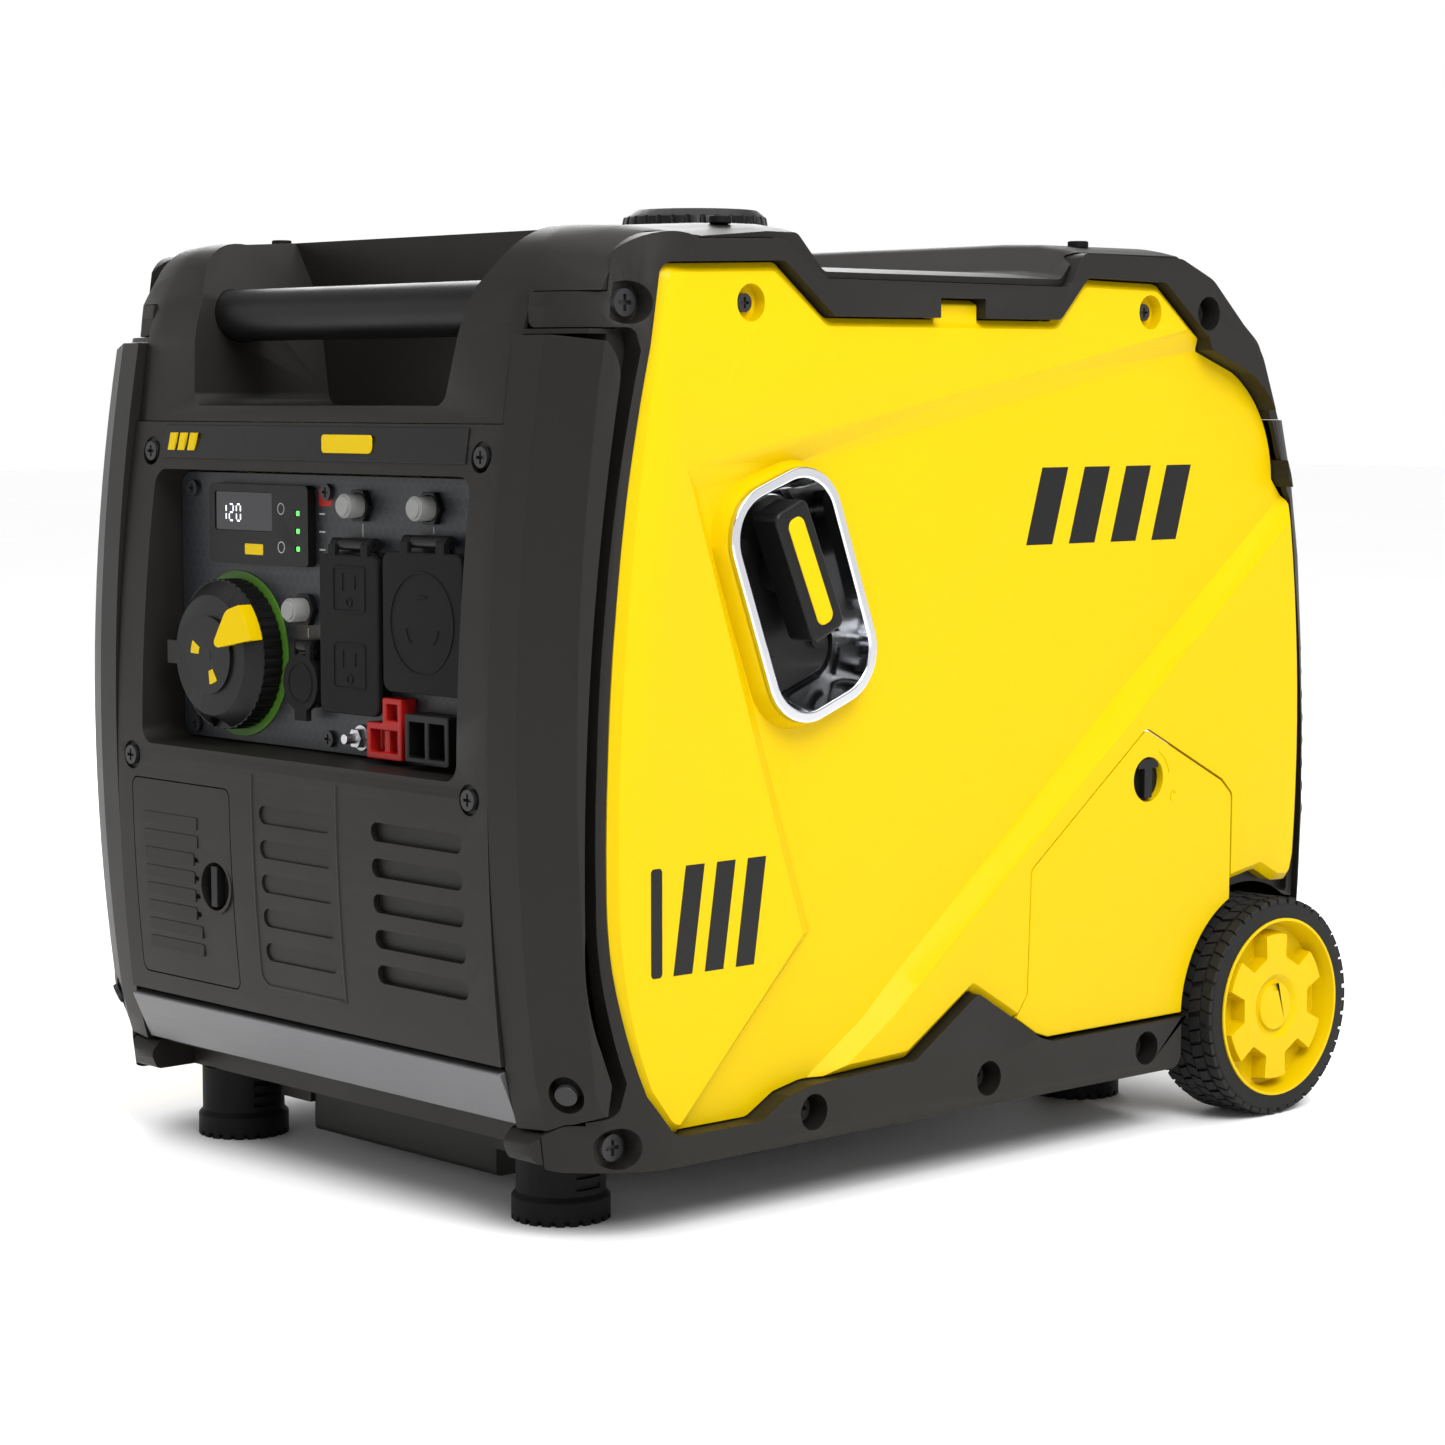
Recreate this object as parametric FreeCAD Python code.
import FreeCAD, Part
import math
import os

Vector = FreeCAD.Vector

# Portable inverter generator on two wheels.
# Millimetres. +X is the recoil-starter side, -Y the control-panel side, +Z up.
# The origin is on the floor, midway between the sides and between the front posts and the rear cover.

# ---------------------------------------------------------------- driving dimensions
REAR_Y = 283.0
POST_X = 203.5
POST_EDGE_X = 176.0
FRAME_X = 209.0
FRAME_LOW_X = 197.0
FRAME_IN_X = 191.0
PANEL_X = 205.0
RECESS_DEPTH = 8.0
PANEL_CHAMFER = 4.0
SKIN = 3.0
SEAM = 0.6

SKIRT_Z = 35.0
COVER_BOTTOM_Z = 84.0
COVER_TOP_Z = 386.0
COVER_HALF_X = 157.0
POST_TOP_Z = 427.0
NOSE_LOW_Z = 430.5
NOSE_HIGH_Z = 447.0
SHELL_HALF_X = 203.0
CROWN_Z = 483.0
VALLEY_Z = 463.0
REAR_CROWN_Z = 479.0

WHEEL_Y = 226.6
WHEEL_R = 61.0
WHEEL_OUT_X = 220.0
WHEEL_IN_X = 176.0
RIM_R = 49.5
ARCH_R = 67.5
AXLE_R = 6.1
AXLE_BORE_R = 6.18

BAR_R = 13.5
BAR_HALF_X = 118.0
BAR_Y = -236.0
BAR_Z = 441.0
POCKET_BACK_Y = -182.0
POCKET_FLOOR_Z = 394.0

PLATE_Y = -260.0
OPENING_HALF_X = 131.0
OPENING_LOW_Z = 219.0
OPENING_HIGH_Z = 361.0

CAP_Y = -13.0
CAP_R = 40.0
CAP_TOP_Z = 499.0
NECK_R = 30.0

CRANK_Z = 150.0
PULL_Y = -128.5
PULL_Z = 303.0
PULL_TILT = 20.5

os.makedirs("parts", exist_ok=True)


# ---------------------------------------------------------------- helpers
def place(plane, at, a, b):
    """Point of an outline: plane x holds (y, z), plane y holds (x, z), plane z holds (x, y)."""
    if plane == "x":
        return Vector(at, a, b)
    if plane == "y":
        return Vector(a, at, b)
    return Vector(a, b, at)


def loop(plane, at, steps):
    """Closed wire. A step is (a, b), (a, b, corner radius) or ((via), (end)) for an arc."""
    ends = []
    vias = []
    radii = []
    for step in steps:
        if isinstance(step[0], tuple):
            vias.append(step[0])
            ends.append(step[1][:2])
            radii.append(0.0)
        else:
            vias.append(None)
            ends.append(step[:2])
            radii.append(step[2] if len(step) > 2 else 0.0)
    count = len(steps)
    arrive = list(ends)
    leave = list(ends)
    middles = [None] * count
    for i in range(count):
        if radii[i] == 0.0:
            continue
        here = Vector(ends[i][0], ends[i][1], 0)
        back = Vector(*ends[i - 1], 0) - here
        ahead = Vector(*ends[(i + 1) % count], 0) - here
        back.normalize()
        ahead.normalize()
        half = back.getAngle(ahead) / 2
        reach = radii[i] / math.tan(half)
        inward = back + ahead
        inward.normalize()
        middle = here + inward * (radii[i] / math.sin(half) - radii[i])
        start = here + back * reach
        end = here + ahead * reach
        arrive[i] = (start.x, start.y)
        leave[i] = (end.x, end.y)
        middles[i] = (middle.x, middle.y)
    edges = []
    for i in range(count):
        start = place(plane, at, *leave[i - 1])
        end = place(plane, at, *arrive[i])
        if vias[i] is not None:
            edges.append(Part.Arc(start, place(plane, at, *vias[i]), end).toShape())
        elif start.distanceToPoint(end) > 1e-6:
            edges.append(Part.makeLine(start, end))
        if middles[i] is not None:
            after = place(plane, at, *leave[i])
            edges.append(Part.Arc(end, place(plane, at, *middles[i]), after).toShape())
    return Part.Wire(edges)


def along(plane, length):
    return {"x": Vector(length, 0, 0), "y": Vector(0, length, 0), "z": Vector(0, 0, length)}[plane]


def prism(plane, low, high, steps):
    return Part.Face(loop(plane, low, steps)).extrude(along(plane, high - low))


def loft(plane, sections):
    """Ruled solid through outlines of equal step count: [(position, steps), ...]."""
    return Part.makeLoft([loop(plane, at, steps) for at, steps in sections], True, True)


def box(x0, x1, y0, y1, z0, z1):
    return Part.makeBox(x1 - x0, y1 - y0, z1 - z0, Vector(x0, y0, z0))


def rod(plane, low, high, a, b, radius):
    return Part.makeCylinder(radius, high - low, place(plane, low, a, b), along(plane, 1))


def cone(plane, low, high, a, b, r_low, r_high):
    return Part.makeCone(r_low, r_high, high - low, place(plane, low, a, b), along(plane, 1))


def rectangle(a0, a1, b0, b1, radius):
    return [(a0, b0, radius), (a1, b0, radius), (a1, b1, radius), (a0, b1, radius)]


def tilted(a, b, half_a, half_b, radius, degrees):
    """Rounded rectangle about (a, b), turned clockwise so that its top leans towards the front."""
    turn = math.radians(degrees)
    corners = []
    for sa, sb in ((-1, -1), (1, -1), (1, 1), (-1, 1)):
        da = sa * half_a * math.cos(turn) - sb * half_b * math.sin(turn)
        db = sa * half_a * math.sin(turn) + sb * half_b * math.cos(turn)
        corners.append((a + da, b + db, radius))
    return corners


def moved(steps, da, db):
    """The same outline in another place."""
    result = []
    for step in steps:
        if isinstance(step[0], tuple):
            result.append(tuple((a + da, b + db) for a, b in step))
        else:
            result.append((step[0] + da, step[1] + db) + tuple(step[2:]))
    return result


def union(shapes):
    return shapes[0].multiFuse(shapes[1:]).removeSplitter()


def mirrored(shape):
    return shape.mirror(Vector(0, 0, 0), Vector(1, 0, 0))


def both(shape):
    return Part.makeCompound([shape, mirrored(shape)])


def rounded(shape, radius, wanted):
    """Fillet every edge whose centre satisfies the test."""
    edges = [edge for edge in shape.Edges if wanted(edge.CenterOfMass, edge)]
    return shape.makeFillet(radius, edges)


def parallel(edge, axis):
    if len(edge.Vertexes) != 2:
        return False
    span = edge.Vertexes[1].Point - edge.Vertexes[0].Point
    return abs(abs(span.dot(axis)) - edge.Length) < 1e-6


def screw(plane, seat, out, a, b, radius):
    """Cross-head screw standing out from its seat by out, which is signed."""
    low, high = sorted((seat, seat + out))
    head = rod(plane, low, high, a, b, radius)
    low, high = sorted((seat + 0.4 * out, seat + 1.1 * out))
    long, thin = 0.6 * radius, 0.15 * radius
    for half_a, half_b in ((long, thin), (thin, long)):
        head = head.cut(prism(plane, low, high, rectangle(a - half_a, a + half_a, b - half_b, b + half_b, 0)))
    return head


def save(node, shape):
    shape.exportStep("parts/" + node + ".step")


# ---------------------------------------------------------------- outlines seen from the side
PANEL_OUTLINE = [
    (-144, 462.5, 6), (-110.5, 436.5, 6), (52.6, 437.2, 6), (73.7, 459.2, 6), (134.5, 458, 8),
    (170.3, 430, 3), (173, 423, 4), (204.6, 411.7),
    ((231, 386), (240, 353)),
    (250.5, 341),
    ((260, 235), (257.6, 139)),
    (252, 128.5, 4), (239, 129, 4), (224, 137, 6), (191, 131), ((167, 103), (158, 63)),
    (51, 63, 3), (42, 66, 3), (-6, 95, 3), (-52, 66, 8), (-123, 63.4, 8),
    (-140, 60, 6), (-158, 50, 8), (-213, 50, 12), (-229.6, 71),
    ((-242.5, 110), (-249.8, 165)),
    ((-243.5, 300), (-224, 422)),
    (-218, 460, 7),
]
PANEL_OPENING = [
    (-143.6, 463.3, 6), (-110.2, 437.3, 6), (52.3, 438, 6), (73.4, 460, 6), (134.8, 458.8, 8),
    (171, 430.4, 3), (173.6, 423.6, 4), (205.1, 412.4),
    ((231.8, 386.5), (240.8, 353.4)),
    (251.3, 341.4),
    ((260.9, 235), (258.6, 122)),
    (240, 108), ((172, 96), (158.4, 62.2)),
    (50.8, 62.2, 3), (41.6, 65.2, 3), (-6, 94.1, 3), (-52.2, 65.2, 8), (-123.2, 62.6, 8),
    (-140.2, 59.2, 6), (-158.2, 49.2, 8), (-213.5, 49.2, 12), (-230.4, 71),
    ((-243.3, 110), (-250.6, 165)),
    ((-244.3, 300), (-224.8, 422)),
    (-218.8, 460.8, 7),
]
# Each pair is a corner of the sunken field: on its floor, and where its slope meets the raised skin.
FIELD = [
    ((-190, 355), (-204, 367)), ((18, 392), (13, 407)), ((179, 424), (165, 437)),
    ((275, 443), (275, 458)), ((275, 364), (275, 350)), ((162, 278), (169, 267)),
    ((109, 238), (117, 226)), ((-52, 111), (-45, 102)), ((-78, 89), (-66, 87)),
    ((-114, 66), (-96, 68)), ((-142, 44), (-124, 44)), ((-209, 44), (-218, 44)),
    ((-115, 137), (-128, 137)), ((-132, 188), (-144, 185)),
]
OIL_DOOR = [
    (128, 221, 6), (38, 153, 5), (35.5, 88, 4), (27, 76.5), (42, 67, 3), (51, 64, 3), (190, 64),
    (190, 110), (199, 110), (199.6, 181, 5), (191, 189, 4),
]
OIL_OPENING = [
    (128, 222.2, 6), (37.2, 153.6, 5), (34.6, 88.4, 4), (26, 77), (40, 40), (190, 40),
    (190, 110), (199.8, 110), (200.5, 181.3, 5), (191.6, 190, 4),
]
FRAME_TOP = [
    (154.6, SKIRT_Z, 8), (154.6, 62), (262, 62), (264, 131),
    ((263, 245), (243, 356)),
    (216, 423, 30), (174, 461, 20), (148, 471.5, 10), (69.6, 472.5, 6), (59.2, 454.8, 6),
    (-115.2, 455.3, 6), (-145.7, 473.6, 6), (-198, 472),
    ((-236, 466.5), (-248, NOSE_HIGH_Z)),
]
FRAME_OUTLINE = FRAME_TOP + [
    (-262, NOSE_HIGH_Z), (-262, NOSE_LOW_Z), (-231, NOSE_LOW_Z, 4), (-229, 420),
    ((-248.5, 300), (-254.6, 165)),
    ((-251, 122), (-240, 78)), (-243, 62, 8), (-262, 58, 6), (-272, 48, 6), (-266, SKIRT_Z, 9),
]
# The corner seen from above, as (x, y); the front of the machine bows forward by the shift at each height.
CORNER_PLAN = [
    (150, -259.5), (168, -258.5),
    ((188, -244), (200, -230)),
    ((206.5, -217), (FRAME_X, -200)),
    (FRAME_X, 300), (150, 300),
]
CORNER_SHIFT = [
    (30, -10), (60, -14), (110, -20), (165, -23), (230, -22), (300, -17), (375, -8), (440, 0), (480, 6),
]


WHEEL_ARCH = rod("x", 168, 230, WHEEL_Y, WHEEL_R, ARCH_R)
SKIRT_SCREWS = [(-123, 49), (2, 49), (126, 49)]
TOP_SCREWS = [(170.5, 443)]
CORNER_SCREWS = [(-242, 46.5), (-233, 442)]
PANEL_SCREWS = [(-162, 443), (127, 443)]
SCREW_HOLE_R = 9.0
CORNER_HOLE_R = 10.0
TOE_IN_X = 174.0


# ---------------------------------------------------------------- side frames
corner = loft("z", [(z, moved(CORNER_PLAN, 0, shift)) for z, shift in CORNER_SHIFT])
frame = prism("x", FRAME_IN_X, FRAME_X, FRAME_OUTLINE)
nose = prism("x", COVER_HALF_X, FRAME_X, [
    (-280, NOSE_LOW_Z), (-280, NOSE_HIGH_Z), (-236, NOSE_HIGH_Z), (-236, NOSE_LOW_Z)])
toe = prism("x", TOE_IN_X, FRAME_X, [
    (-244.6, SKIRT_Z), (-266, SKIRT_Z, 9), (-272, 48, 6), (-262, 58, 6), (-244.6, 58)])
frame = union([frame, nose, toe]).common(corner)
nose_end = [edge for edge in frame.Edges if parallel(edge, Vector(0, 1, 0)) and edge.CenterOfMass.x < 158
            and edge.CenterOfMass.z < NOSE_LOW_Z + 1]
frame = frame.makeFillet(6, nose_end)
frame = frame.cut(prism("x", FRAME_IN_X - 1, FRAME_X + 1, PANEL_OPENING)).cut(WHEEL_ARCH)
frame = frame.cut(box(FRAME_LOW_X, FRAME_X + 1, 236, 300, 60, 339))
# the oil door reaches the wheel arch, so no frame is left between them
frame = frame.cut(box(FRAME_IN_X - 1, FRAME_X + 1, 157.5, 162, 63.2, 77))
for y, z in SKIRT_SCREWS + TOP_SCREWS:
    frame = frame.cut(rod("x", FRAME_LOW_X - 2, FRAME_X + 1, y, z, SCREW_HOLE_R))
for y, z in CORNER_SCREWS:
    frame = frame.cut(rod("x", FRAME_IN_X + 1.5, FRAME_X + 1, y, z, CORNER_HOLE_R))
TAB = (-36.0, -5.0, 447.0)
frame = frame.cut(box(FRAME_IN_X - 1, FRAME_X + 1, TAB[0] - SEAM, TAB[1] + SEAM, 430, TAB[2] + SEAM))
ledge = prism("x", FRAME_IN_X, FRAME_IN_X + 2, [(y, z) for y, z in (
    (-208, 445), (-150, 452), (-115, 428), (60, 428), (78, 448), (130, 448), (162, 420), (222, 375),
    (240, 290), (248, 200), (244, 148), (180, 148), (140, 75), (60, 75), (-6, 105), (-60, 78),
    (-150, 62), (-208, 62), (-236, 150), (-230, 300))])
rim = prism("x", FRAME_IN_X, FRAME_IN_X + 2, PANEL_OPENING).cut(ledge).cut(WHEEL_ARCH)
frame = union([frame, rim])
save("side_frame_right", frame)
save("side_frame_left", mirrored(frame))


# ---------------------------------------------------------------- yellow side panels
def field(shift):
    floor = [pair[0] for pair in FIELD]
    lip = [pair[1] for pair in FIELD]
    return loft("x", [(PANEL_X - RECESS_DEPTH - shift, floor), (PANEL_X + 0.6 - shift, lip)])


def panel_skin(outline):
    hollow = prism("x", FRAME_IN_X + 2.2, PANEL_X - SKIN, outline).cut(field(SKIN))
    core = hollow.common(prism("x", FRAME_IN_X, PANEL_X, PANEL_CORE))
    rim_x = PANEL_X - PANEL_CHAMFER
    body = prism("x", FRAME_IN_X + 2.2, rim_x, outline)
    body = union([body, loft("x", [(rim_x, outline), (PANEL_X, PANEL_CORE)])])
    return body.cut(field(0)).cut(core)


PANEL_CORE = [
    (-147, 458, 4), (-112, 432.5, 6), (54, 433, 6), (75, 455, 6), (132, 454, 8), (166, 428, 3),
    (170, 420, 4), (200, 409), ((226, 384), (235.5, 350)), (246.5, 338),
    ((256, 235), (253.5, 143)), (250.5, 132.5, 4), (241, 133, 4), (226, 141, 6), (188, 134.5),
    ((163, 104), (154, 67)), (53, 67, 3), (44, 70, 3),
    (-6, 99.5, 3), (-54, 70, 6), (-124, 67.4, 6), (-142, 64, 5), (-160, 54, 7), (-211, 54, 9),
    (-225.5, 73), ((-238.5, 111), (-245.6, 165)), ((-239.4, 300), (-220, 422)), (-214, 456, 5),
]
panel = panel_skin(PANEL_OUTLINE).cut(WHEEL_ARCH)
for y, z in PANEL_SCREWS:
    boss = rod("x", FRAME_IN_X + 2.2, PANEL_X - 1, y, z, 12)
    panel = panel.fuse(boss.common(prism("x", FRAME_IN_X, PANEL_X, PANEL_OUTLINE)))
    panel = panel.cut(rod("x", PANEL_X - 7, PANEL_X + 1, y, z, 9))
tab = prism("y", TAB[0], TAB[1], [
    (196, 432), (203, 432), (203, 444.5, 1.5), (198, TAB[2], 1.5), (196, TAB[2])])
door_well = prism("x", FRAME_IN_X + 2, PANEL_X + 1, OIL_OPENING)
side_panel_left = mirrored(union([panel, tab]))
bezel_hole = prism("x", FRAME_IN_X, PANEL_X + 1, tilted(PULL_Y, PULL_Z, 34.2, 57.1, 23.7, PULL_TILT))
bezel_pad = loft("x", [
    (PANEL_X - RECESS_DEPTH - SKIN, tilted(PULL_Y, PULL_Z, 42, 65, 30, PULL_TILT)),
    (PANEL_X, tilted(PULL_Y, PULL_Z, 38.2, 61.1, 27.6, PULL_TILT)),
])
side_panel_right = union([panel, tab, bezel_pad]).cut(door_well).cut(bezel_hole)
save("side_panel_left", side_panel_left)
save("side_panel_right", side_panel_right)


# ---------------------------------------------------------------- oil access door on the recoil side
door = prism("x", PANEL_X - SKIN, PANEL_X, OIL_DOOR)
door_ribs = [
    prism("x", PANEL_X - 8, PANEL_X - SKIN, [(44, 92), (47, 92), (47, 150), (44, 150)]),
    prism("x", PANEL_X - 8, PANEL_X - SKIN, [(188, 140), (191, 140), (191, 180), (188, 180)]),
    rod("x", PANEL_X - 9, PANEL_X - SKIN, 130, 194, 14),
]
door = union([door] + door_ribs).cut(WHEEL_ARCH)
door = door.cut(rod("x", PANEL_X - 6.5, PANEL_X + 1, 130, 194, 12))
save("oil_door", door)

latch = union([
    rod("x", PANEL_X - 6.2, PANEL_X - 4.2, 130, 194, 11.5),
    box(PANEL_X - 4.2, PANEL_X - 0.4, 127, 133, 184, 204),
    box(PANEL_X - 4.2, PANEL_X - 0.4, 122, 138, 200, 205).common(rod("x", 190, 210, 130, 194, 11.5)),
])
save("oil_door_latch", latch)


# ---------------------------------------------------------------- recoil starter
outer_ring = tilted(PULL_Y, PULL_Z, 37.6, 60.5, 27, PULL_TILT)
lip_ring = tilted(PULL_Y, PULL_Z, 32.4, 55.3, 22, PULL_TILT)
well_ring = tilted(PULL_Y, PULL_Z, 26, 48, 16, PULL_TILT)
bezel = union([
    prism("x", PANEL_X + 0.1, PANEL_X + 3.6, outer_ring),
    prism("x", 182, PANEL_X + 0.1, tilted(PULL_Y, PULL_Z, 33.5, 56.4, 23, PULL_TILT)),
])
bezel = bezel.cut(loft("x", [(184, well_ring), (PANEL_X + 3.7, lip_ring)]))
bezel = bezel.cut(prism("x", 180, 185, tilted(PULL_Y, PULL_Z, 22, 44, 12, PULL_TILT)))
save("recoil_bezel", bezel)

GRIP_Y = -130.0
GRIP_Z = 315.0
pull_plate = prism("x", 184.2, 187.2, tilted(PULL_Y, PULL_Z, 24.5, 46.5, 14, PULL_TILT))
pull_plate = pull_plate.cut(rod("x", 184, 188, GRIP_Y, GRIP_Z, 5))
plate_heads = []
for a, b in ((-15, 30), (16, 32), (-16, -31), (16, -31)):
    turn = math.radians(PULL_TILT)
    y = PULL_Y + a * math.cos(turn) - b * math.sin(turn)
    z = PULL_Z + a * math.sin(turn) + b * math.cos(turn)
    plate_heads.append(rod("x", 187.2, 189.7, y, z, 4.2))
save("recoil_plate", union([pull_plate] + plate_heads))

grip = union([
    prism("x", 196, 213, tilted(GRIP_Y, GRIP_Z, 11.5, 34, 4.5, PULL_TILT + 3)),
    rod("x", 187.8, 196.5, GRIP_Y, GRIP_Z, 11),
])
grip = rounded(grip, 2.0, lambda c, e: abs(c.x - 213) < 1e-6)
insert_outline = tilted(GRIP_Y, GRIP_Z, 5.5, 28, 4.5, PULL_TILT + 3)
grip = grip.cut(prism("x", 211, 214, insert_outline))
grip = grip.cut(rod("x", 187, 200, GRIP_Y, GRIP_Z, 2.1))
save("recoil_grip", grip)
save("recoil_grip_insert", prism("x", 211, 213.4, insert_outline))
save("recoil_rope", rod("x", -150, 200, GRIP_Y, GRIP_Z, 2.0))

housing = rod("x", 150, 176, 0, CRANK_Z, 76).cut(rod("x", 149, 173, 0, CRANK_Z, 72))
vents = []
for i in range(12):
    angle = math.radians(30 * i)
    vents.append(rod("x", 170, 178, 50 * math.cos(angle), CRANK_Z + 50 * math.sin(angle), 9))
housing = housing.cut(Part.makeCompound(vents))
housing = union([housing, rod("x", 152, 173, 0, CRANK_Z, 8)])
save("recoil_housing", housing)
reel = rod("x", 156, 170, 0, CRANK_Z, 45).cut(rod("x", 155, 171, 0, CRANK_Z, 8.08))
groove = rod("x", 160, 166, 0, CRANK_Z, 46).cut(rod("x", 160, 166, 0, CRANK_Z, 36))
save("recoil_reel", reel.cut(groove))


# ---------------------------------------------------------------- front corner posts
def post_steps(inset, low, high, top_back):
    """Side outline of a post; the inset moves its front edge back."""
    front = -285 + inset
    return [
        (front + 17, high),
        ((front, 190), (front + 9, 84)),
        ((front + 12, 70), (front + 16, low)), (-251.5, low), (-249, 78), (-256, 96),
        ((-263.6, 121), (-265, 150)),
        ((-261.5, 270), (-243, 404)),
        ((-246.5, 420), (top_back, high)),
    ]


post = loft("x", [
    (COVER_HALF_X + 0.5, post_steps(0, 54, POST_TOP_Z, -258)),
    (POST_EDGE_X, post_steps(2.5, 55, POST_TOP_Z, -258)),
    (POST_X, post_steps(16, 64, POST_TOP_Z - 3, -250.5)),
])
post = post.cut(Part.makeCylinder(9, 30, Vector(198, -278, 66), Vector(-0.5, 0.75, 0.43)))
post = post.cut(prism("x", TOE_IN_X - SEAM, FRAME_X, [
    (-240, 34), (-267, 34), (-273, 48), (-262.3, 58.7), (-252, 60.9), (-240, 62.8)]))
save("corner_post_right", post)
save("corner_post_left", mirrored(post))


# ---------------------------------------------------------------- top shell and carry bar
def crown(front, drop, rear, low=COVER_TOP_Z):
    """Side profile of the top shell, its front, top and rear moved inwards."""
    return [
        (-270.5 + front, low), (-265 + front, 427),
        ((-258 + front, 448 - drop / 2), (-249.5 + front, 463 - drop)),
        ((-239 + front, 474.5 - drop), (-216 + front, 479.5 - drop)),
        (-150, CROWN_Z - drop), (-130, CROWN_Z - drop, 6),
        (-112, VALLEY_Z - drop * 0.7, 6), (58, VALLEY_Z - drop * 0.7, 6), (71, REAR_CROWN_Z - drop, 6),
        (150, REAR_CROWN_Z - drop),
        ((190 - rear, 470 - drop), (217 - rear, 447)), (242 - rear, 428, 16), (260 - rear, low),
    ]


shell_half = loft("x", [
    (0, crown(0, 0, 0)), (150, crown(1, 0.2, 0.5)), (POST_EDGE_X, crown(6, 1.2, 2)), (192, crown(15, 3.5, 8)),
    (SHELL_HALF_X, crown(24, 6, 22))])
shell = union([shell_half, mirrored(shell_half)])
solid_shell = shell
shell = shell.cut(prism("x", -160, 160, crown(4.5, 3.5, 3.5, COVER_TOP_Z - 5)))
shell = union([shell, box(-135, 135, -285, POCKET_BACK_Y + 3, POCKET_FLOOR_Z - 3, 500).common(solid_shell)])
pocket = prism("y", -300, POCKET_BACK_Y, [
    (-105, POCKET_FLOOR_Z, 8), (105, POCKET_FLOOR_Z, 8), (114, 450), (150, 505), (-150, 505), (-114, 450)])
shell = shell.cut(pocket)
room_floor = [(-300, 447.6), (-300, 90), (-200, SKIRT_Z), (265, SKIRT_Z), (265, 131)]
frame_rooms = [moved(FRAME_TOP[4:], shift, SEAM) + room_floor for shift in (SEAM, -SEAM)]
for side in (1, -1):
    low_x, high_x = sorted((side * (FRAME_IN_X - SEAM), side * 230))
    for room in frame_rooms:
        shell = shell.cut(prism("x", low_x, high_x, room))
    low_x, high_x = sorted((side * COVER_HALF_X, side * (FRAME_IN_X - SEAM)))
    shell = shell.cut(box(low_x, high_x, -300, -234, NOSE_LOW_Z - SEAM, NOSE_HIGH_Z + SEAM))
    shell = shell.cut(box(low_x, high_x, -300, -240, 370, POST_TOP_Z + SEAM))
shell = shell.cut(rod("x", -BAR_HALF_X - 0.3, BAR_HALF_X + 0.3, BAR_Y, BAR_Z, BAR_R + 0.3))
shell = shell.cut(rod("z", 430, 490, 0, CAP_Y, NECK_R + 4))
save("top_shell", shell)
save("carry_bar", rod("x", -BAR_HALF_X, BAR_HALF_X, BAR_Y, BAR_Z, BAR_R))


# ---------------------------------------------------------------- front cover
def cover_face(shift):
    """Front cover's side profile, moved back by shift."""
    return [
        (-270.5 + shift, COVER_TOP_Z - 0.4),
        ((-285 + shift, 190), (-278 + shift, COVER_BOTTOM_Z)),
    ]


def behind_cover(shift, back):
    return cover_face(shift) + [(back, COVER_BOTTOM_Z), (back, COVER_TOP_Z - 0.4)]


wall = OPENING_HALF_X + SKIN
cover = prism("x", -COVER_HALF_X, COVER_HALF_X, behind_cover(0, -250))
solid_front = cover
cover = cover.cut(prism("x", -COVER_HALF_X + SKIN, COVER_HALF_X - SKIN, behind_cover(SKIN, -249)))
frame_walls = box(-wall, wall, -300, PLATE_Y + 4, OPENING_LOW_Z - SKIN, OPENING_HIGH_Z + SKIN)
cover = union([cover, frame_walls.common(solid_front)])
opening = loft("y", [
    (-290, rectangle(-OPENING_HALF_X - 3, OPENING_HALF_X + 3, OPENING_LOW_Z - 2, OPENING_HIGH_Z + 1, 9)),
    (PLATE_Y + 5, rectangle(-OPENING_HALF_X, OPENING_HALF_X, OPENING_LOW_Z + 1, OPENING_HIGH_Z - 1, 9)),
])
cover = cover.cut(opening)
DOOR_X0, DOOR_X1, DOOR_Z0, DOOR_Z1 = -144.0, -54.0, 94.0, 199.0
door_hole = prism("y", -290, -270, rectangle(DOOR_X0, DOOR_X1, DOOR_Z0, DOOR_Z1, 5))
door_plug = prism("y", -290, -270, rectangle(DOOR_X0 + 0.7, DOOR_X1 - 0.7, DOOR_Z0 + 0.7, DOOR_Z1 - 0.7, 4.5))
cover = cover.cut(door_hole)
slots = []
blind_slots = []
for i in range(5):
    z = 188.4 - 17.6 * i
    slots.append(prism("y", -290, -270, rectangle(66, 137, z - 4.7, z + 4.7, 4.6)))
    blind_slots.append(prism("y", -290, -270, rectangle(-28, 33, z - 4.7, z + 4.7, 4.6)))
tray_back = box(60, 143, -290, -262, 108, 198)
slot_backing = tray_back.common(prism("x", 60, 143, behind_cover(2.5, -250))).cut(
    prism("x", 59, 144, behind_cover(5.4, -249)))
cover = union([cover, slot_backing])
slot_space = Part.makeCompound(slots).common(prism("x", 59, 144, behind_cover(-2, -250)).cut(
    prism("x", 59, 144, behind_cover(3.6, -249))))
cover = cover.cut(slot_space)
skin_outer = prism("x", -COVER_HALF_X, COVER_HALF_X, behind_cover(-1, -250)).cut(
    prism("x", -COVER_HALF_X - 1, COVER_HALF_X + 1, behind_cover(1.2, -250)))
cover = cover.cut(Part.makeCompound(blind_slots).common(skin_outer))
COVER_SCREWS = [(138.8, 370.3, -272.2), (143.2, 210.1, -284.8)]
for x, z, y in COVER_SCREWS:
    for side in (1, -1):
        cover = cover.cut(rod("y", y - 5, y + 1.6, side * x, z, 7.5))
save("front_cover", cover)

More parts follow.
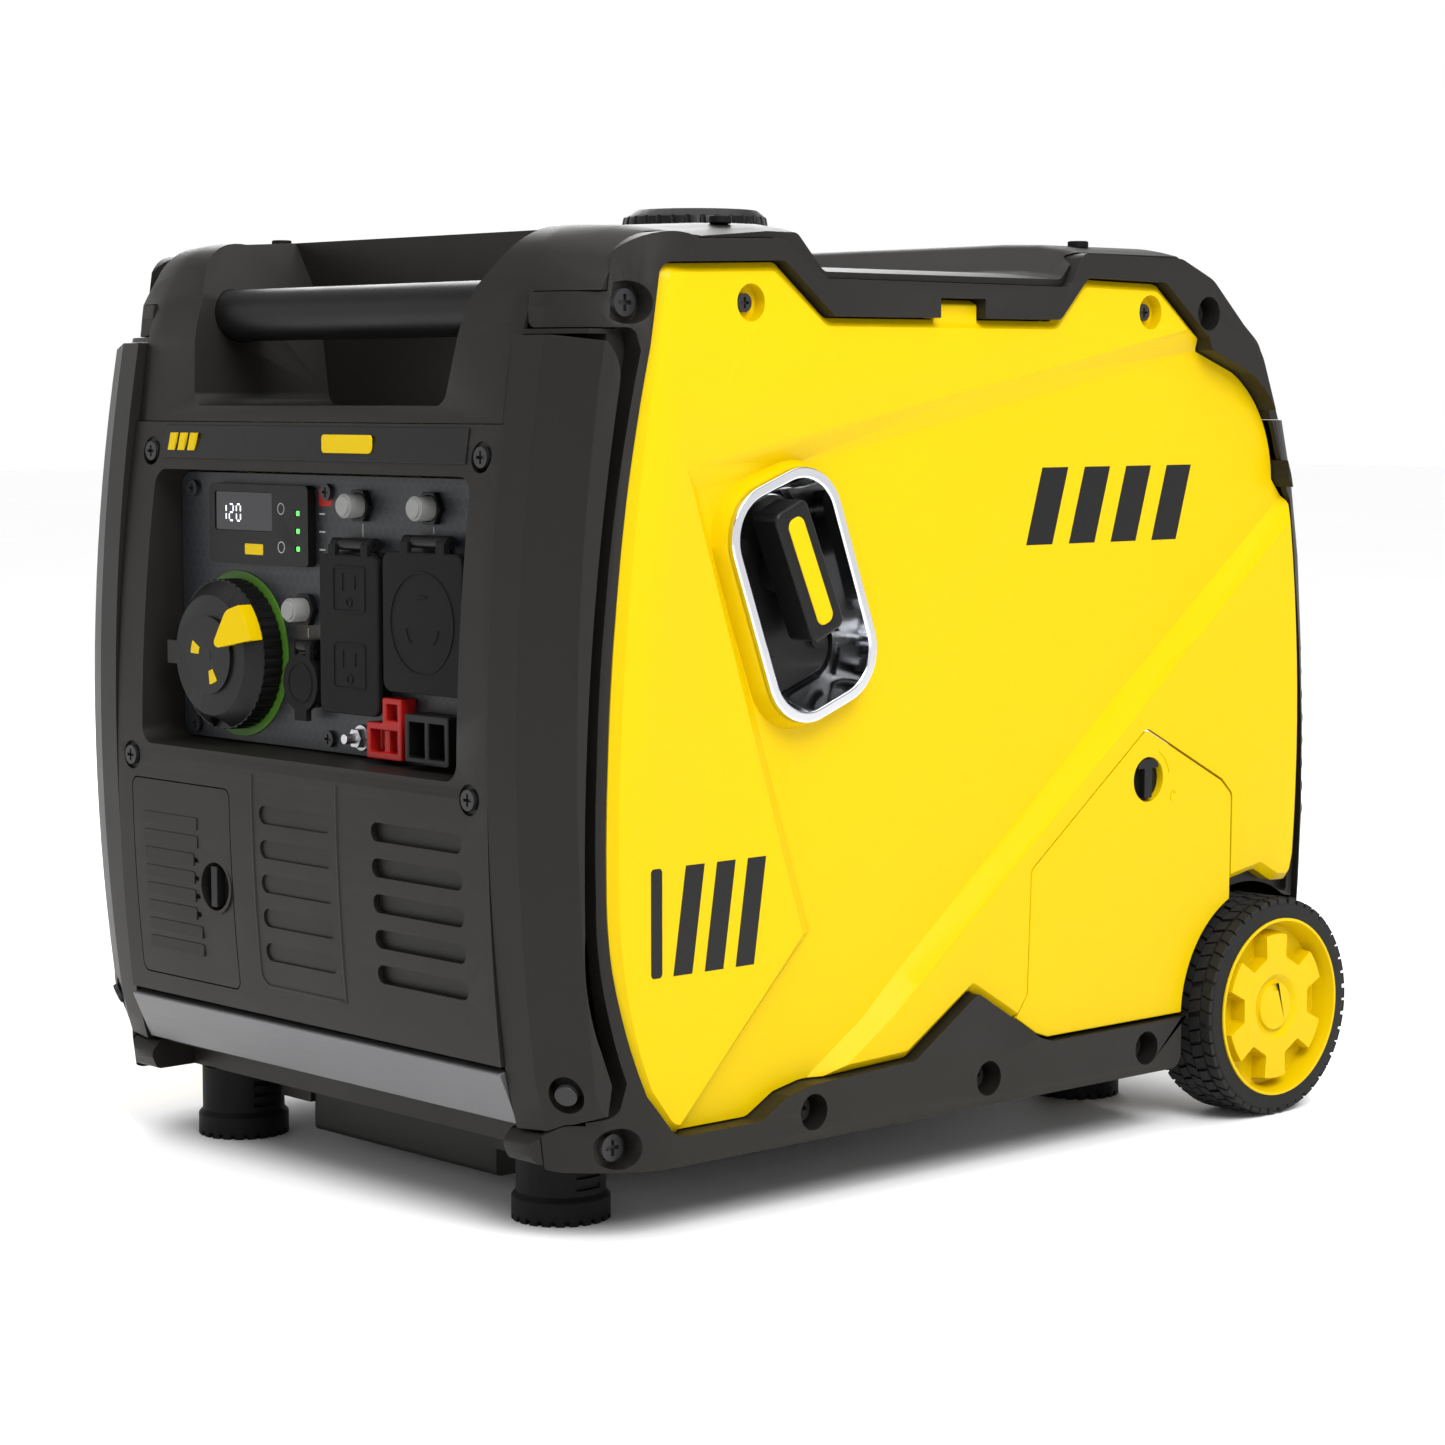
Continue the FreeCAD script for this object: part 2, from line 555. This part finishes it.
label = prism("x", -128, 128, cover_face(-0.7) + [(-260, COVER_BOTTOM_Z), (-260, 385.6)])
label = label.cut(prism("x", -130, 130, behind_cover(-0.05, -250)))
label = label.common(box(-128, 128, -300, -250, 367, 384))
save("label_strip", label)

service_door = door_plug.common(solid_front).cut(
    prism("x", -160, 160, behind_cover(2.6, -249)))
ribs = []
for i in range(8):
    z = 178 - 9.5 * i
    ribs.append(prism("y", -290, -281, rectangle(-134, -84, z - 1.2, z + 1.2, 1.1)))
service_door = service_door.cut(Part.makeCompound(ribs).common(skin_outer))
KNOB_X, KNOB_Z = -69.5, 147.0
KNOB_FACE_Y = -284.5
KNOB_R = 11.2
service_door = union([service_door, rod("y", -284, -270, KNOB_X, KNOB_Z, 14.5)])
service_door = service_door.cut(rod("y", -290, -273, KNOB_X, KNOB_Z, 12.5))
save("service_door", service_door)
knob = union([
    rod("y", -279, -273.4, KNOB_X, KNOB_Z, KNOB_R),
    box(KNOB_X - 2.6, KNOB_X + 2.6, KNOB_FACE_Y, -279, KNOB_Z - 10.5, KNOB_Z + 10.5),
])
save("service_knob", knob)

accent = prism("x", -COVER_HALF_X + 0.5, COVER_HALF_X - 0.5, [
    (-279, 80.5, 1), (-267.5, 55, 1), (-262, 57.5), (-273, 82)])
save("accent_strip", accent)


# ---------------------------------------------------------------- base tray and front bumper
tray = box(-189.5, 189.5, -244, 150, 38, 92).cut(box(-187, 187, -241, 146, 42, 93))
tray_rear = box(-163, 163, 150, 274, 78, 92).cut(box(-160, 160, 146, 271, 82, 93))
brackets = []
for x in (-158, 148):
    brackets.append(box(x, x + 10, WHEEL_Y - 18, WHEEL_Y + 18, 50, 80))
    brackets.append(box(x, x + 10, 146, WHEEL_Y, 42, 80).common(
        prism("x", x, x + 10, [(146, 42), (WHEEL_Y, 66), (WHEEL_Y, 80), (146, 80)])))
tray = union([tray, tray_rear, box(-163, 163, 140, 150, 38, 84)] + brackets)
tray = tray.cut(rod("x", -230, 230, WHEEL_Y, WHEEL_R, AXLE_BORE_R))
tray = tray.cut(box(-158, 158, -245, -240, 60, 93))
save("base_tray", tray)

BUMPER_HALF_X = TOE_IN_X - 0.6
bumper = prism("x", -BUMPER_HALF_X, BUMPER_HALF_X, [
    (-266, 53.4, 3), (-272, 47, 5), (-268, 38, 4), (-244.3, 38), (-244.3, 53.4)])
bumper = bumper.common(union([corner, mirrored(corner)]))
bumper = union([bumper, box(-156, 156, -262, -244.3, 53, 84)])
bumper = bumper.cut(prism("x", -156.9, 156.9, [(-285, 84), (-262, 57), (-262, 85), (-285, 85)]))
notch = loft("z", [(30, [(-45, -300), (52, -300), (40, -264), (-33, -264)]),
                   (54, [(-38, -300), (44, -300), (36, -266), (-30, -266)])])
bumper = bumper.cut(notch).cut(box(-2, 12, -280, -262, 44, 48))
save("front_bumper", bumper)


# ---------------------------------------------------------------- control panel and what is on it
plate = prism("y", PLATE_Y, PLATE_Y + 3.5, rectangle(-130.6, 130.6, 220.4, 359.6, 8))
BREAKERS = [(28.5, 345), (85.5, 345), (-18.5, 291.5)]
for x, z in BREAKERS:
    plate = plate.cut(rod("y", PLATE_Y - 1, PLATE_Y + 5, x, z, 6.4))
display = prism("y", PLATE_Y - 5, PLATE_Y, rectangle(-98, -11, 313, 354, 3))
display = display.cut(prism("y", PLATE_Y - 6, PLATE_Y - 3.4, rectangle(-93, -42, 330, 350, 1.5)))
for z in (322, 331, 340):
    display = display.cut(box(-22, -18, PLATE_Y - 6, PLATE_Y - 4.2, z - 1.5, z + 1.5))
save("display_module", display)
save("display_window", prism("y", PLATE_Y - 4.4, PLATE_Y - 3.4, rectangle(-93, -42, 330, 350, 1.5)))

DIAL_X, DIAL_Z = -78.0, 266.0
DIAL_SHAFT_R = 8.0
plate = plate.cut(rod("y", PLATE_Y - 1, PLATE_Y + 5, DIAL_X, DIAL_Z, DIAL_SHAFT_R + 0.07))
ring = rod("y", PLATE_Y - 0.8, PLATE_Y, DIAL_X, DIAL_Z, 43).cut(
    rod("y", PLATE_Y - 1, PLATE_Y + 1, DIAL_X, DIAL_Z, 12))
save("start_dial_ring", ring)
DIAL_BACK = PLATE_Y - 1.4
dial = union([
    rod("y", DIAL_BACK - 11, DIAL_BACK, DIAL_X, DIAL_Z, 39),
    cone("y", DIAL_BACK - 18, DIAL_BACK - 11, DIAL_X, DIAL_Z, 31, 38),
    rod("y", DIAL_BACK - 19.5, DIAL_BACK - 18, DIAL_X, DIAL_Z, 20),
    box(DIAL_X - 39, DIAL_X - 30, DIAL_BACK - 18, DIAL_BACK - 11, DIAL_Z - 6, DIAL_Z + 6),
])
grips = []
for i in range(48):
    angle = 2 * math.pi * i / 48
    grips.append(rod("y", DIAL_BACK - 11.1, DIAL_BACK + 1, DIAL_X + 40 * math.cos(angle),
                     DIAL_Z + 40 * math.sin(angle), 1.7))
dial = dial.cut(Part.makeCompound(grips))
for angle in (150, 270):
    a = math.radians(angle)
    dial = dial.cut(rod("y", DIAL_BACK - 19, DIAL_BACK - 9, DIAL_X + 41 * math.cos(a),
                        DIAL_Z + 41 * math.sin(a), 9))
dial = dial.fuse(rod("y", DIAL_BACK, PLATE_Y + 6, DIAL_X, DIAL_Z, DIAL_SHAFT_R))
pointer_fan = prism("y", DIAL_BACK - 24, DIAL_BACK - 11, [
    (DIAL_X + 10, DIAL_Z + 4, 3), (DIAL_X + 18, DIAL_Z + 24, 6), (DIAL_X + 27, DIAL_Z + 27),
    ((DIAL_X + 33.6, DIAL_Z + 18.2), (DIAL_X + 37, DIAL_Z + 9.5))])
pointer = pointer_fan.common(cone("y", DIAL_BACK - 24, DIAL_BACK - 18.8, DIAL_X, DIAL_Z, 12, 38.5).fuse(
    rod("y", DIAL_BACK - 18.8, DIAL_BACK - 11, DIAL_X, DIAL_Z, 38.5)))
save("start_dial", dial)
save("start_dial_pointer", pointer.cut(dial).removeSplitter())

BUTTON_R = 6.0
collars = []
for index, (x, z) in enumerate(BREAKERS):
    collar = prism("y", PLATE_Y - 3.5, PLATE_Y, [
        (x + 9 * math.cos(math.radians(60 * k)), z + 9 * math.sin(math.radians(60 * k))) for k in range(6)])
    collars.append(collar.cut(rod("y", PLATE_Y - 4, PLATE_Y + 1, x, z, BUTTON_R + 0.4)))
    button = union([
        rod("y", PLATE_Y - 12, PLATE_Y + 1, x, z, BUTTON_R),
        rod("y", PLATE_Y - 13.4, PLATE_Y - 12, x, z, BUTTON_R - 1.2),
    ])
    save("breaker_button_%d" % (index + 1), button)
save("breaker_collars", Part.makeCompound(collars))


def grounded_outlet(x, z, depth):
    """Two upright blade slots and a round earth hole below them."""
    holes = [box(x - 7.4, x - 5.4, -300, depth, z - 3.5, z + 4.5),
             box(x + 5.4, x + 7.4, -300, depth, z - 3, z + 4),
             rod("y", -300, depth, x, z - 9, 2.6)]
    return Part.makeCompound(holes)


duplex = prism("y", PLATE_Y - 5, PLATE_Y, rectangle(9, 51, 244, 322, 3)).fuse(
    box(20, 40, PLATE_Y - 2, PLATE_Y, 321, 324))
DUPLEX_MIDDLE_Z = 285.0
OUTLET_SPACING = 38.1
for z in (DUPLEX_MIDDLE_Z + OUTLET_SPACING / 2, DUPLEX_MIDDLE_Z - OUTLET_SPACING / 2):
    duplex = duplex.fuse(prism("y", PLATE_Y - 7, PLATE_Y - 5, rectangle(15, 45, z - 13, z + 13, 8)))
    duplex = duplex.cut(grounded_outlet(30, z, PLATE_Y - 1))
PIN_Y = PLATE_Y - 6.5
PIN_R = 1.5
PIN_BORE_R = 1.56
KNUCKLE_R = 3.1
LID_THICK = 3.2


def knuckle(low, high, reach, z):
    """Fixed hinge knuckle on the panel with its pin standing out by reach on both sides."""
    return [
        rod("x", low, high, PIN_Y, z, KNUCKLE_R),
        box(low, high, PIN_Y, PLATE_Y, z - 3, z + 3),
        rod("x", low - reach, high + reach, PIN_Y, z, PIN_R),
    ]


def lid_ears(low, high, reach, lid_back, lid_top, z):
    """The lid's two barrels, one on each end of the pin."""
    ears = []
    for start, end in ((low - reach, low - 0.5), (high + 0.5, high + reach)):
        ears.append(rod("x", start, end, PIN_Y, z, KNUCKLE_R))
        ears.append(box(start, end, lid_back - LID_THICK, lid_back - 0.6, lid_top - 2, z))
    return ears


def hinged_lid(lid, low, high, reach, lid_back, lid_top, z):
    lid = rounded(lid, 1.0, lambda c, e: abs(c.y - (lid_back - LID_THICK)) < 1e-6)
    lid = union([lid] + lid_ears(low, high, reach, lid_back, lid_top, z))
    return lid.cut(rod("x", low - reach - 1, high + reach + 1, PIN_Y, z, PIN_BORE_R))


DUPLEX_PIN_Z = 326.0
DUPLEX_BACK = PLATE_Y - 7.6
duplex = union([duplex] + knuckle(20, 40, 6, DUPLEX_PIN_Z))
save("duplex_receptacle", duplex)
duplex_lid = prism("y", DUPLEX_BACK - LID_THICK, DUPLEX_BACK, rectangle(6, 54, 242, 321, 5))
save("duplex_cover", hinged_lid(duplex_lid, 20, 40, 6, DUPLEX_BACK, 321, DUPLEX_PIN_Z))

LOCK_X, LOCK_Z = 89.5, 289.0
locking = prism("y", PLATE_Y - 5, PLATE_Y, rectangle(62, 117, 259, 320, 4)).fuse(
    box(79, 100, PLATE_Y - 2, PLATE_Y, 319, 327))
locking = locking.fuse(rod("y", PLATE_Y - 7, PLATE_Y - 5, LOCK_X, LOCK_Z, 25))
blades = []
for k in range(3):
    angle = 90 + 120 * k
    arc = rod("y", -300, PLATE_Y - 1, LOCK_X, LOCK_Z, 13).cut(rod("y", -300, PLATE_Y, LOCK_X, LOCK_Z, 11))
    wedge_points = [(LOCK_X, LOCK_Z)]
    for step in (-24, 24):
        a = math.radians(angle + step)
        wedge_points.append((LOCK_X + 20 * math.cos(a), LOCK_Z + 20 * math.sin(a)))
    blades.append(arc.common(prism("y", -300, PLATE_Y, wedge_points)))
locking = locking.cut(Part.makeCompound(blades))
LOCK_PIN_Z = 329.0
LOCK_BACK = PLATE_Y - 7.6
locking = union([locking] + knuckle(79, 100, 7, LOCK_PIN_Z))
save("locking_receptacle", locking)
locking_lid = prism("y", LOCK_BACK - LID_THICK, LOCK_BACK, rectangle(58, 121, 255.5, 324, 6))
save("locking_cover", hinged_lid(locking_lid, 79, 100, 7, LOCK_BACK, 324, LOCK_PIN_Z))

DC_X, DC_Z = -12.5, 255.0
dc = union([rod("y", PLATE_Y - 6, PLATE_Y, DC_X, DC_Z, 13)] + knuckle(DC_X - 4, DC_X + 4, 4.5, DC_Z + 18.5))
dc = union([dc, rod("y", PLATE_Y, PLATE_Y + 3, DC_X, DC_Z, 12),
            box(DC_X - 4, DC_X + 4, PLATE_Y - 2, PLATE_Y, DC_Z + 11, DC_Z + 17)])
dc = dc.cut(rod("y", PLATE_Y - 7, PLATE_Y + 2, DC_X, DC_Z, 10.5))
plate = plate.cut(rod("y", PLATE_Y - 1, PLATE_Y + 5, DC_X, DC_Z, 12.2))
save("control_panel", plate)
save("dc_socket", dc)
DC_BACK = PLATE_Y - 6.6
dc_lid = rod("y", DC_BACK - LID_THICK, DC_BACK, DC_X, DC_Z, 14.5)
dc_lid = dc_lid.fuse(box(DC_X - 5, DC_X + 5, DC_BACK - LID_THICK, DC_BACK, DC_Z - 19, DC_Z - 12))
dc_lid = union([dc_lid.removeSplitter()] + lid_ears(DC_X - 4, DC_X + 4, 4.5, DC_BACK, DC_Z + 14, DC_Z + 18.5))
dc_lid = dc_lid.cut(rod("x", DC_X - 12, DC_X + 12, PIN_Y, DC_Z + 18.5, PIN_BORE_R))
save("dc_cover", dc_lid)

red = prism("y", PLATE_Y - 10, PLATE_Y, [
    (43, 221.5, 1), (71, 221.5, 1), (71, 252, 1), (56, 252, 1), (56, 239.5, 1), (43, 239.5, 1)])
red = red.cut(box(59, 68, PLATE_Y - 11, PLATE_Y - 3, 241, 249))
red = red.cut(box(46, 68, PLATE_Y - 11, PLATE_Y - 3, 225, 236))
red = union([red, box(55, 59, PLATE_Y - 8, PLATE_Y - 2, 225, 236)])
save("connector_red", red)
black = prism("y", PLATE_Y - 13, PLATE_Y, rectangle(78, 112, 221.5, 246, 1.5))
black = black.cut(box(81, 93.5, PLATE_Y - 14, PLATE_Y - 3, 225, 242))
black = black.cut(box(96.5, 109, PLATE_Y - 14, PLATE_Y - 3, 225, 242))
save("connector_black", black)

GROUND_X, GROUND_Z = 27.0, 229.5
nut = [(GROUND_X + 5.2 * math.cos(math.radians(60 * k)), GROUND_Z + 5.2 * math.sin(math.radians(60 * k)))
       for k in range(6)]
save("ground_terminal", union([
    rod("y", PLATE_Y - 1.5, PLATE_Y, GROUND_X, GROUND_Z, 6.5),
    prism("y", PLATE_Y - 5.5, PLATE_Y - 1.5, nut),
    rod("y", PLATE_Y - 12, PLATE_Y - 5.5, GROUND_X, GROUND_Z, 2.5),
]))


# ---------------------------------------------------------------- rear cover
REAR_PROFILE = [(125, -2), (165, 0), (215, -0.5), (262, -3), (310, -7), (352, -14)]


def rear_plan(inset, back):
    reach = SHELL_HALF_X - inset
    back -= inset
    return [
        (-reach, 200), (reach, 200), (reach, back - 24),
        ((194 - inset, back - 8), (172, back)), (-172, back), ((-194 + inset, back - 8), (-reach, back - 24)),
    ]


def rear_block(inset, low, high):
    sections = [(low, rear_plan(inset, REAR_Y - 5))]
    for z, step in REAR_PROFILE:
        sections.append((z, rear_plan(inset, REAR_Y + step)))
    sections.append((high, rear_plan(inset, REAR_Y - 23)))
    return loft("z", sections)


rear = rear_block(0, 92.5, 385.6).cut(rear_block(SKIN, 92, 386))
rear = rear.cut(box(-190, 190, 190, 245, 90, 390))
for side in (1, -1):
    low_x, high_x = sorted((side * 188, side * 230))
    rear = rear.cut(prism("x", low_x, high_x, moved(frame_rooms[0], 0.3, 0)))
    rear = rear.cut(prism("x", low_x, high_x, moved(PANEL_OUTLINE, SEAM, SEAM)))
louvres = []
for i in range(8):
    z = 168 + 26 * i
    louvres.append(box(-140, 140, 270, 310, z, z + 9))
rear = rear.cut(Part.makeCompound(louvres))
EXHAUST_X, EXHAUST_Z = -90.0, 132.0
rear = rear.cut(rod("y", 262, 310, EXHAUST_X, EXHAUST_Z, 20))
rear = rear.cut(both(WHEEL_ARCH))
save("rear_cover", rear)

# ---------------------------------------------------------------- fuel tank and cap
tank = prism("x", -150, 150, [
    (-165, 386, 12), (190, 386, 14), (190, 440, 20), (90, 452, 10), (-110, 452, 10), (-165, 440, 14)])
tank = rounded(tank, 10, lambda c, e: abs(abs(c.x) - 150) < 1e-6)
tank = union([tank, rod("z", 450, 489, 0, CAP_Y, NECK_R)])
tank = tank.cut(box(-145, 145, -155, 182, 392, 434)).cut(box(-140, 140, -105, 85, 433, 446))
tank = tank.cut(rod("z", 440, 490, 0, CAP_Y, NECK_R - 5))
save("fuel_tank", tank)
cap = union([
    rod("z", 470, 489.5, 0, CAP_Y, CAP_R - 1.5),
    cone("z", 489.5, 495, 0, CAP_Y, CAP_R, CAP_R - 1),
    cone("z", 495, CAP_TOP_Z, 0, CAP_Y, CAP_R - 1, CAP_R - 6),
])
cap = cap.cut(rod("z", 469, 489.6, 0, CAP_Y, NECK_R + 0.4))
notches = []
for i in range(30):
    angle = 2 * math.pi * i / 30
    notches.append(rod("z", 469, 500, CAP_R * math.cos(angle), CAP_Y + CAP_R * math.sin(angle), 1.8))
cap = cap.cut(Part.makeCompound(notches))
cap = cap.cut(box(-30, -9, CAP_Y - 14, CAP_Y + 14, 493, 500))
cap = cap.cut(box(9, 30, CAP_Y - 14, CAP_Y + 14, 493, 500))
save("fuel_cap", cap)

# ---------------------------------------------------------------- wheels and axle
tyre = rod("x", WHEEL_IN_X, WHEEL_OUT_X - 1, WHEEL_Y, WHEEL_R, WHEEL_R)
tyre = rounded(tyre, 6, lambda c, e: True)
tyre = tyre.cut(rod("x", WHEEL_IN_X - 1, WHEEL_OUT_X + 1, WHEEL_Y, WHEEL_R, RIM_R))
sipes = []
for i in range(36):
    angle = 10.0 * i
    cut = box(
        WHEEL_IN_X - 1, WHEEL_OUT_X + 1, WHEEL_Y - 1.2, WHEEL_Y + 1.2, 2 * WHEEL_R - 2.5, 2 * WHEEL_R + 4)
    cut.rotate(Vector(0, WHEEL_Y, WHEEL_R), Vector(1, 0, 0), angle)
    sipes.append(cut)
tyre = tyre.cut(Part.makeCompound(sipes))
save("wheel_tyre_right", tyre)
save("wheel_tyre_left", mirrored(tyre))

# dished rim: a thin lip, a deep recess and a raised six-armed plate with a round cap in its middle
LOBE_R, NOTCH_R, CAP_HOLE_R = 40.5, 27.5, 14.6
plate_x = WHEEL_OUT_X - 3
floor_x = WHEEL_OUT_X - 13
wheel = rod("x", WHEEL_IN_X + 3, WHEEL_OUT_X, WHEEL_Y, WHEEL_R, RIM_R)
wheel = wheel.cut(cone("x", floor_x, WHEEL_OUT_X + 0.01, WHEEL_Y, WHEEL_R, RIM_R - 5, RIM_R - 1.6))
wheel = wheel.cut(rod("x", WHEEL_IN_X, WHEEL_OUT_X - 17, WHEEL_Y, WHEEL_R, RIM_R - 4))
star = cone("x", floor_x - 1, plate_x, WHEEL_Y, WHEEL_R, LOBE_R + 1.5, LOBE_R)
gaps = []
for i in range(6):
    gap = prism("x", floor_x, WHEEL_OUT_X, [
        (WHEEL_Y - 6.5, WHEEL_R + NOTCH_R, 2), (WHEEL_Y + 6.5, WHEEL_R + NOTCH_R, 2),
        (WHEEL_Y + 15.5, WHEEL_R + 46), (WHEEL_Y - 15.5, WHEEL_R + 46)])
    gap.rotate(Vector(0, WHEEL_Y, WHEEL_R), Vector(1, 0, 0), 60.0 * i + 30)
    gaps.append(gap)
star = star.cut(Part.makeCompound(gaps))
star = star.cut(cone("x", plate_x - 2.5, plate_x + 0.01, WHEEL_Y, WHEEL_R, CAP_HOLE_R, CAP_HOLE_R + 3.5))
star = star.fuse(cone("x", plate_x - 3, plate_x - 0.5, WHEEL_Y, WHEEL_R, CAP_HOLE_R - 0.6, CAP_HOLE_R - 1.6))
star = star.cut(box(plate_x - 1.5, plate_x, WHEEL_Y - 2.2, WHEEL_Y + 2.2, WHEEL_R + 8.5, WHEEL_R + 12.3))
wheel = wheel.fuse(star)
wheel = wheel.fuse(rod("x", WHEEL_IN_X + 0.5, floor_x, WHEEL_Y, WHEEL_R, 13))
wheel = wheel.cut(rod("x", WHEEL_IN_X - 1, 214, WHEEL_Y, WHEEL_R, AXLE_BORE_R))
wheel = wheel.removeSplitter()
save("wheel_rim_right", wheel)
save("wheel_rim_left", mirrored(wheel))
save("axle", rod("x", -213, 213, WHEEL_Y, WHEEL_R, AXLE_R))

# ---------------------------------------------------------------- feet
FOOT_R, FOOT_BASE_R = 22.1, 24.3
FOOT_NOTCHES = 22
feet = []
for x, y in ((134.6, -223), (100, 192)):
    foot_top = 38 if y < 0 else 78
    foot = union([
        rod("z", 0, 11.5, x, y, FOOT_BASE_R),
        cone("z", 11.5, 14, x, y, FOOT_BASE_R, FOOT_R),
        rod("z", 14, foot_top, x, y, FOOT_R),
    ])
    grooves = []
    for i in range(FOOT_NOTCHES):
        groove = box(x + FOOT_BASE_R - 2.4, x + FOOT_BASE_R + 1, y - 1.1, y + 1.1, -1, 2.6)
        groove.rotate(Vector(x, y, 0), Vector(0, 0, 1), 360.0 * i / FOOT_NOTCHES)
        grooves.append(groove)
    for z in (18.2, 24.0, 29.8):
        for side in (1, -1):
            inner, outer = x + side * (FOOT_R - 2.5), x + side * (FOOT_R + 1)
            grooves.append(box(min(inner, outer), max(inner, outer), y - 7.5, y + 7.5, z - 1.2, z + 1.2))
    foot = foot.cut(Part.makeCompound(grooves))
    feet += [foot, mirrored(foot)]
save("rubber_feet", Part.makeCompound(feet))

# ---------------------------------------------------------------- tow handle and its runners
TUBE_X, TUBE_Z, TUBE_R = 62.0, 30.7, 5.0
TUBE_BORE_R = 5.08
runner = box(-104, 104, -219, 130, 24, 37.9).cut(box(-78, 78, -220, -190, 23, 37.9))
runner = runner.cut(box(-50, 50, -180, 131, 23, 38))
for x in (-TUBE_X, TUBE_X):
    runner = runner.cut(rod("y", -200, 131, x, TUBE_Z, TUBE_BORE_R))
save("tow_handle_runner", runner)
tow = union([
    box(-77, 77, -217, -194, 9, 35),
    rod("y", -195, 120, -TUBE_X, TUBE_Z, TUBE_R),
    rod("y", -195, 120, TUBE_X, TUBE_Z, TUBE_R),
])
tow = rounded(tow, 3.0, lambda c, e: parallel(e, Vector(1, 0, 0)) and c.z < 20)
save("tow_handle", tow)

# ---------------------------------------------------------------- engine, generator and electronics
case = box(-40, 105, -70, 80, 96, 235)
fins = []
for i in range(6):
    fins.append(box(-20, 85, -70 - 14, -60, 112 + 18 * i, 118 + 18 * i))
case = union([case] + fins + [rod("x", 105, 120, 0, CRANK_Z, 40), box(-30, 95, -50, 60, 235, 262)])
case = case.cut(rod("x", -60, 130, 0, CRANK_Z, 11.07))
mounts = [rod("z", 42, 97, x, y, 12) for x in (-30, 85) for y in (-55, 65)]
save("engine_block", union([case] + mounts))
rotor = union([rod("x", -125, -55, 0, CRANK_Z, 72), rod("x", -60, 140, 0, CRANK_Z, 11.0)])
rotor = rotor.cut(rod("x", -126, -75, 0, CRANK_Z, 60)).fuse(rod("x", -120, -60, 0, CRANK_Z, 16))
save("crank_rotor", rotor.removeSplitter())
muffler = rounded(box(-150, 60, 100, 200, 105, 215), 18, lambda c, e: parallel(e, Vector(1, 0, 0)))
pipe = rod("y", 198, REAR_Y - 1, EXHAUST_X, EXHAUST_Z, 14).cut(rod("y", 210, 300, EXHAUST_X, EXHAUST_Z, 11))
muffler = muffler.cut(box(-140, 50, 108, 192, 115, 205))
save("muffler", union([muffler, pipe]))
inverter = box(-45, 150, -240, -150, 42, 110)
for i in range(12):
    inverter = inverter.cut(box(-40 + 16 * i, -32 + 16 * i, -241, -149, 92, 111))
save("inverter_module", inverter)
save("starter_battery", box(-145, -60, -240, -150, 42, 140))

# ---------------------------------------------------------------- cross-head screws of the case
screws = []
for x, z, y in COVER_SCREWS:
    for side in (1, -1):
        screws.append(screw("y", y + 1.5, -3, side * x, z, 5))
for x in (-118, 0, 120):
    for z in (351, 227):
        screws.append(screw("y", PLATE_Y, -2.2, x, z, 4.2))
for y, z in SKIRT_SCREWS + TOP_SCREWS:
    head = screw("x", FRAME_LOW_X - 2, 4, y, z, 6.5)
    screws += [head, mirrored(head)]
for y, z in CORNER_SCREWS:
    head = screw("x", FRAME_IN_X + 1.5, 3, y, z, 6.5)
    screws += [head, mirrored(head)]
for y, z in PANEL_SCREWS:
    head = screw("x", PANEL_X - 7, 2.5, y, z, 4.5)
    screws += [head, mirrored(head)]
save("case_screws", Part.makeCompound(screws))
